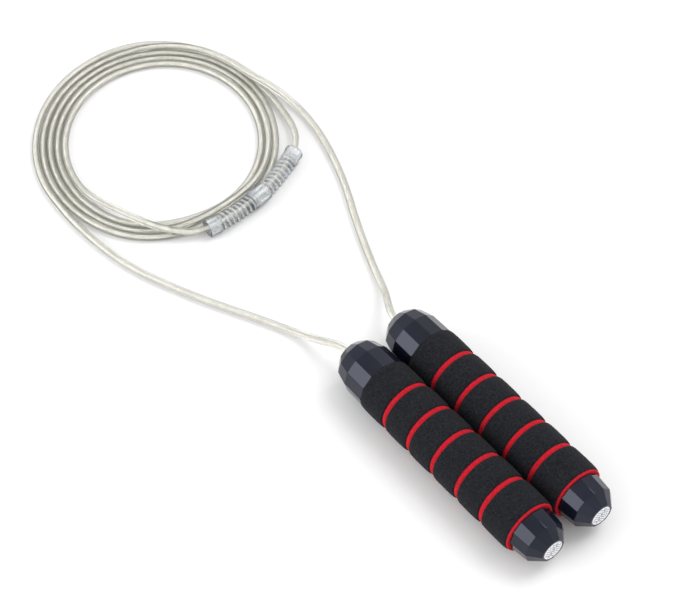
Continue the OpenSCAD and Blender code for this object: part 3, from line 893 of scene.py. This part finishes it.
BLACK_PLASTIC = black_plastic_finish()
BEARING_STEEL = metal_finish("ground bearing steel", srgb(205, 207, 212), srgb(170, 172, 178),
                             0.18, 0.32, 9000.0)
BALL_STEEL = metal_finish("polished ball steel", srgb(232, 233, 236), srgb(214, 216, 220),
                          0.04, 0.1, 3000.0)
BRASS = metal_finish("turned brass", srgb(214, 178, 98), srgb(184, 142, 66), 0.2, 0.36, 7000.0)
SCREW_STEEL = metal_finish("blackened screw steel", srgb(88, 90, 96), srgb(58, 60, 66),
                           0.3, 0.45, 6000.0)
print("inner finishes:", ", ".join(finish.name for finish in (
    BLACK_PLASTIC, BEARING_STEEL, BALL_STEEL, BRASS, SCREW_STEEL)))

# %% [markdown]
# ## The foam grips
# A foam tube is never quite true: its skin swells a little between two grooves, rounds over
# at each cut and has a soft, slightly wavy surface. The outline of the skin's six bands is
# drawn once as closed loops. A geometry tree sweeps the loops round the handle's axis and
# then moves the skin in and out by a slow noise, so no two bands are the same.

# %% Outline of one black band
GROOVES, GROOVE_W, GROOVE_PITCH, GROOVE_SHIFT = 5, 3 * MM, 20.5 * MM, 1.2 * MM
RED_R, CORE_R = 16.1 * MM, 12.7 * MM
SKIN_CROWN, SKIN_EDGE, SKIN_LAP = 0.3 * MM, 1.15 * MM, 0.1 * MM


def round_stretch(centre, radius, start, end, steps=7):
    """Points on an arc, from a start angle to an end angle in degrees."""
    return [(centre[0] + radius * math.cos(a), centre[1] + radius * math.sin(a))
            for a in np.linspace(math.radians(start), math.radians(end), steps)]


def band_outline(start, end, inner, outer):
    """A band as [distance from the axis, place along it]: crowned, with rounded edges."""
    mid, half = (start + end) / 2, (end - start) / 2
    shoulder = outer - SKIN_CROWN - SKIN_EDGE
    reach = 1 - SKIN_EDGE / half
    crown = [(outer - SKIN_CROWN * abs(t) ** 3, mid + half * t)
             for t in np.linspace(-reach, reach, 17)[1:-1]]
    return [(inner, start), *round_stretch((shoulder, start + SKIN_EDGE), SKIN_EDGE, -90, 0),
            *crown, *round_stretch((shoulder, end - SKIN_EDGE), SKIN_EDGE, 0, 90),
            (inner, end)]


def groove_places(low, high):
    """Middles of the grooves in a foam tube that runs from low to high."""
    first = (low + high) / 2 + GROOVE_SHIFT - (GROOVES - 1) / 2 * GROOVE_PITCH
    return [first + i * GROOVE_PITCH for i in range(GROOVES)]


def skin_outlines(side):
    """The six black bands of one handle, between the ends of its skin and its grooves."""
    red_low, red_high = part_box(side + "_red_foam")
    skin_low, skin_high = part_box(side + "_black_foam")
    outer = (skin_high.z - skin_low.z) / 2
    cuts = groove_places(red_low.y, red_high.y)
    starts = [skin_low.y, *(cut + GROOVE_W / 2 for cut in cuts)]
    ends = [*(cut - GROOVE_W / 2 for cut in cuts), skin_high.y]
    return [band_outline(a, b, RED_R - SKIN_LAP, outer) for a, b in zip(starts, ends)]


print("band lengths in mm:", [round((b[-1][1] - b[0][1]) / MM, 1)
                              for b in skin_outlines("left")])

# %% Outline of the red tube
BEAD_R, BEAD_IN, BEAD_UP = 0.7 * MM, 0.25 * MM, 0.6 * MM
END_GAP, END_INSET, STRAIGHT_FROM = 0.1 * MM, 1.1 * MM, 1.5 * MM
SWELL, SWELL_REACH = 0.5 * MM, 2 * MM


def red_outline(side):
    """The red tube: a round bead at the butt end, and a swelling in each groove."""
    low, high = (v.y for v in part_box(side + "_red_foam"))
    line = [(CORE_R, low + END_GAP), (RED_R - END_INSET, low + END_GAP)]
    line += round_stretch((RED_R - BEAD_IN, low + BEAD_UP), BEAD_R, -150, 40, 14)
    line.append((RED_R, low + STRAIGHT_FROM))
    for cut in groove_places(low, high):
        line += [(RED_R + SWELL * math.cos(t * math.pi / 2) ** 2, cut + t * SWELL_REACH)
                 for t in np.linspace(-1, 1, 13)]
    return [*line, (RED_R, high), (CORE_R, high)]


print("red outline has", len(red_outline("left")), "corners")

# %% The foam tree
def make_foam_tree():
    tree, given, result = new_tree("GeometryNodeTree", "revolved foam", [
        GEOMETRY, ("Segments", "Int", 144), ("Wave height", "Float", 0.0001),
        ("Waves per metre", "Float", 120.0), ("Seed", "Float", 1.0),
        ("Finish", "Material", None)], [("Geometry", "Geometry")])
    axis = place(tree, "GeometryNodeCurvePrimitiveCircle", {
        "Radius": 1e-6, "Resolution": given["Segments"]}).outputs["Curve"]
    solid = place(tree, "GeometryNodeCurveToMesh", {
        "Curve": axis, "Profile Curve": given["Geometry"]}).outputs[0]
    wave = place(tree, "ShaderNodeTexNoise", {
        "W": given["Seed"], "Scale": given["Waves per metre"],
        "Detail": 3.0}, noise_dimensions="4D").outputs[0]
    lift = maths(tree, "MULTIPLY", maths(tree, "SUBTRACT", wave, 0.5),
                 given["Wave height"])
    normal = place(tree, "GeometryNodeInputNormal").outputs["Normal"]
    offset = place(tree, "ShaderNodeVectorMath", {0: normal, "Scale": lift},
                   operation="SCALE").outputs[0]
    soft = place(tree, "GeometryNodeSetPosition", {"Geometry": solid, "Offset": offset})
    finish_tree(tree, result, soft.outputs[0], given["Finish"])
    return tree


FOAM = make_foam_tree()
print("foam tree takes", labels(FOAM, "INPUT"))

# %% Lay the foam on both handles
WAVE_HEIGHT = 0.22 * MM
SKIN_SEED, TUBE_SEED = 3, 7


def lay_on_handle(piece, side):
    """Turns a piece made round the upright axis down onto a handle, and closes its seams."""
    low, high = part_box(side + "_black_foam")
    turn = Matrix.Rotation(math.radians(90), 4, "X")
    turn.translation = Vector(((low.x + high.x) / 2, 0, (low.z + high.z) / 2))
    piece.data.transform(turn)
    shape = bmesh.new()
    shape.from_mesh(piece.data)
    close_up(shape)
    shape.to_mesh(piece.data)
    shape.free()


def foam_piece(node, side, outlines, seed, finish):
    """Turns closed outlines into foam; X is the distance from the axis, Y the place along."""
    loops = [[(r, along, 0) for r, along in outline] for outline in outlines]
    piece = grow(add_curve("outline", loops, closed=True), FOAM, node + "_soft",
                 Wave_height=WAVE_HEIGHT, Seed=float(seed), Finish=finish)
    lay_on_handle(piece, side)
    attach(piece, side + "_handle")
    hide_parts(node)


for number, side in enumerate(SIDES):
    foam_piece(side + "_black_foam", side, skin_outlines(side), SKIN_SEED + number,
               BLACK_FOAM)
    foam_piece(side + "_red_foam", side, [red_outline(side)], TUBE_SEED + number,
               RED_FOAM)

# %% [markdown]
# ## Faceted caps
# Both caps are moulded with flat facets like a cut stone. The frame has them with knife
# edges, and a mould never gives those: each real edge has a small radius that catches the
# light as a thin line. A merged copy of the frame's mesh is bevelled along every edge that
# turns by more than a few degrees. The new strips and the narrow faces of the round walls
# are shaded smooth, and the broad facets stay perfectly flat.

# %% Bevelled copies of the caps
FACET_EDGE = 0.4 * MM
SHARP, FLAT = math.radians(9), math.radians(0.5)
BROAD = 12 * MM * MM


def bevelled_cap(node, body, finish):
    """A frame part's loose triangles joined into whole faces, then bevelled."""
    shape = bmesh.new()
    shape.from_mesh(bpy.data.objects[node].data)
    bmesh.ops.remove_doubles(shape, verts=shape.verts, dist=1e-6)
    bmesh.ops.dissolve_limit(shape, angle_limit=FLAT, verts=shape.verts, edges=shape.edges)
    edges = [e for e in shape.edges if len(e.link_faces) == 2
             and e.calc_face_angle(0) > SHARP]
    strips = bmesh.ops.bevel(shape, geom=edges, offset=FACET_EDGE, offset_type="OFFSET",
                             segments=3, profile=0.5, affect="EDGES", clamp_overlap=True)
    for face in shape.faces:
        face.smooth = face.calc_area() < BROAD
    for face in strips["faces"]:
        face.smooth = True
    mesh = to_mesh(shape, node + "_bevelled")
    mesh.materials.append(finish)
    piece = add_object(mesh.name, mesh)
    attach(piece, body)
    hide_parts(node)
    print(piece.name, "has", len(mesh.polygons), "faces")


for side in SIDES:
    bevelled_cap(side + "_nose_cap", side + "_handle", SMOKED)
    bevelled_cap(side + "_butt_cap", side + "_butt", SMOKED)

# %% [markdown]
# ## Stamped badges
# The badge is a thin stamped disc: bright raised metal over a dark enamelled ground. The
# real mark is left out, and a plain hatch of slanting bars stands in for it. The disc is
# turned from its section, and the bars are small blocks joined to it, cut to the circle.

# %% Badge
BADGE_RIM, BADGE_SINK, BADGE_EDGE, BADGE_SIDES = 0.8 * MM, 0.25 * MM, 0.2 * MM, 96
BARS, BAR_W, BAR_SLANT = 7, 0.95 * MM, math.radians(35)
BAR_TOP, BAR_FOOT = 0.06 * MM, 0.5 * MM
BREAK_EVEN, BREAK_ODD = -0.1, 0.15


def badge_finish():
    """Bright where the metal stands high, dark where enamel fills the ground."""
    material, tree, shader = new_finish("stamped badge metal", Metallic=0.85)
    raised = place(tree, "ShaderNodeAttribute", attribute_name="raised").outputs["Fac"]
    rings = effect(tree, TURNED, Across=object_axis(tree, "X"), Lines_per_metre=14000.0)
    bright = colour_mix(tree, rings["Streak"], srgb(238, 240, 243), srgb(252, 252, 253))
    tree.links.new(colour_mix(tree, raised, srgb(140, 144, 153), bright),
                   shader.inputs["Base Color"])
    tree.links.new(ramp(tree, rings["Streak"], 0, 1, 0.22, 0.4), shader.inputs["Roughness"])
    raise_by(tree, shader, rings["Height"], 0.01 * MM, 0.4)
    return material


def bar(shape, low, high):
    """A box between two corners, added to a mesh."""
    made = bmesh.ops.create_cube(shape, size=1)["verts"]
    for vert in made:
        vert.co = Vector([low[k] if vert.co[k] < 0 else high[k] for k in range(3)])
    return made


def stamped_badge(side):
    """The disc, then slanting bars, each with a break a little off its middle."""
    low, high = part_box(side + "_badge")
    centre, r, thick = (low + high) / 2, (high.x - low.x) / 2, high.y - low.y
    field = r - BADGE_RIM - BADGE_EDGE
    section = [(0, thick), (r, thick), (r, BADGE_EDGE), (r - BADGE_EDGE, 0),
               (r - BADGE_RIM, 0), (field, BADGE_SINK), (0, BADGE_SINK)]
    disc = turned("disc", section, BADGE_SIDES, closed=False)
    shape = bmesh.new()
    shape.from_mesh(disc.data)
    bpy.data.objects.remove(disc)
    for i in range(BARS):
        across = field * ((i + 0.5) / BARS * 2 - 1)
        reach = math.sqrt(field ** 2 - across ** 2)
        cut = reach * (BREAK_ODD if i % 2 else BREAK_EVEN)
        for start, end in ((-reach, cut - BAR_W / 2), (cut + BAR_W / 2, reach)):
            block = bar(shape, (start, across - BAR_W / 2, BAR_TOP),
                        (end, across + BAR_W / 2, BAR_FOOT))
            bmesh.ops.rotate(shape, verts=block, cent=(0, 0, 0),
                             matrix=Matrix.Rotation(BAR_SLANT, 3, "Z"))
    bmesh.ops.recalc_face_normals(shape, faces=shape.faces)
    mesh = to_mesh(shape, side + "_badge_stamped")
    raised = mesh.attributes.new("raised", "FLOAT", "POINT")
    raised.data.foreach_set("value", [float(v.co.z < 0.5 * BADGE_SINK) for v in mesh.vertices])
    turn = Matrix.Rotation(math.radians(-90), 4, "X")
    turn.translation = Vector((centre.x, low.y, centre.z))
    mesh.transform(turn)
    mesh.materials.append(BADGE)
    piece = add_object(mesh.name, mesh)
    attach(piece, side + "_butt")
    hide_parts(side + "_badge")
    print(piece.name, "has", len(mesh.polygons), "faces")


BADGE = badge_finish()
for side in SIDES:
    stamped_badge(side)

# %% [markdown]
# ## Parts inside the handle
# The bearing, the spindle bush, the stop with its grub screw and the hard tube are hidden
# until a cap is pulled out. They keep the frame's exact shapes and get a finish each.

# %% Finishes of the inner parts
INNER_FINISH = {
    "rope_end": COATING, "rope_strand": WIRE, "spindle": BRASS, "washer": BEARING_STEEL,
    "rope_stop": BRASS, "stop_screw": SCREW_STEEL, "inner_race": BEARING_STEEL,
    "outer_race": BEARING_STEEL, "balls": BALL_STEEL, "ball_cage": BRASS,
    "dust_shields": BEARING_STEEL, "bearing_keeper": BLACK_PLASTIC,
    "core_tube": BLACK_PLASTIC,
}
for side in SIDES:
    for part, finish in INNER_FINISH.items():
        mesh = bpy.data.objects[side + "_" + part].data
        mesh.materials.clear()
        mesh.materials.append(finish)
print("finished", 2 * len(INNER_FINISH), "inner parts")

# %% [markdown]
# ## Table and light
# A wide white table under large soft lamps keeps the shadows faint. The caps are glossy,
# so they show what is round them: a low window on the left gives each cap one bright facet,
# a bigger lamp high on the right lights the foam, and the even room fills the rest.

# %% Stage
TABLE_HALF, TABLE_DROP = 4, 0.1 * MM


def floor_finish():
    material, tree, shader = new_finish("white table", Roughness=0.7)
    grain = effect(tree, GRAIN, Pits_per_metre=300.0, Cloud_per_metre=2.0)
    tree.links.new(colour_mix(tree, grain["Cloud"], (0.9, 0.9, 0.9), (0.915, 0.915, 0.915)),
                   shader.inputs["Base Color"])
    return material


def add_floor(half):
    mesh = bpy.data.meshes.new("table")
    mesh.from_pydata([(-half, -half, 0), (half, -half, 0), (half, half, 0),
                      (-half, half, 0)], [], [(0, 1, 2, 3)])
    mesh.materials.append(floor_finish())
    table = add_object("table", mesh)
    table.location.z = -TABLE_DROP


def add_lamp(name, place_at, size, power):
    """A soft rectangular lamp that faces the spot the camera aims at."""
    lamp = bpy.data.lights.new(name, "AREA")
    lamp.shape, lamp.size, lamp.size_y, lamp.energy = "RECTANGLE", *size, power
    holder = add_object(name, lamp)
    holder.location = place_at
    holder.rotation_euler = (Vector(place_at) - AIM).to_track_quat("Z", "Y").to_euler()
    print(name, power, "W")


add_floor(TABLE_HALF)
add_lamp("left window", (-1.75, 0.95, 0.98), (1.5, 0.9), 15)
add_lamp("right lamp", (1.35, -0.25, 2.3), (1.5, 1.5), 26)

# %% World and view
WALLS, CEILING = 1.25, 0.75


def make_room():
    """A pale room, brightest at the walls and dimmer overhead."""
    room = bpy.data.worlds.new("room")
    room.use_nodes = True
    tree = room.node_tree
    up = place(tree, "ShaderNodeSeparateXYZ", {
        0: place(tree, "ShaderNodeTexCoord").outputs["Generated"]}).outputs["Z"]
    tree.links.new(ramp(tree, up, 0, 1, WALLS, CEILING),
                   tree.nodes["Background"].inputs["Strength"])
    tree.nodes["Background"].inputs["Color"].default_value = (1, 1, 1, 1)
    bpy.context.scene.world = room


make_room()
bpy.context.scene.view_settings.view_transform = "Standard"
print("room light from", CEILING, "overhead to", WALLS)
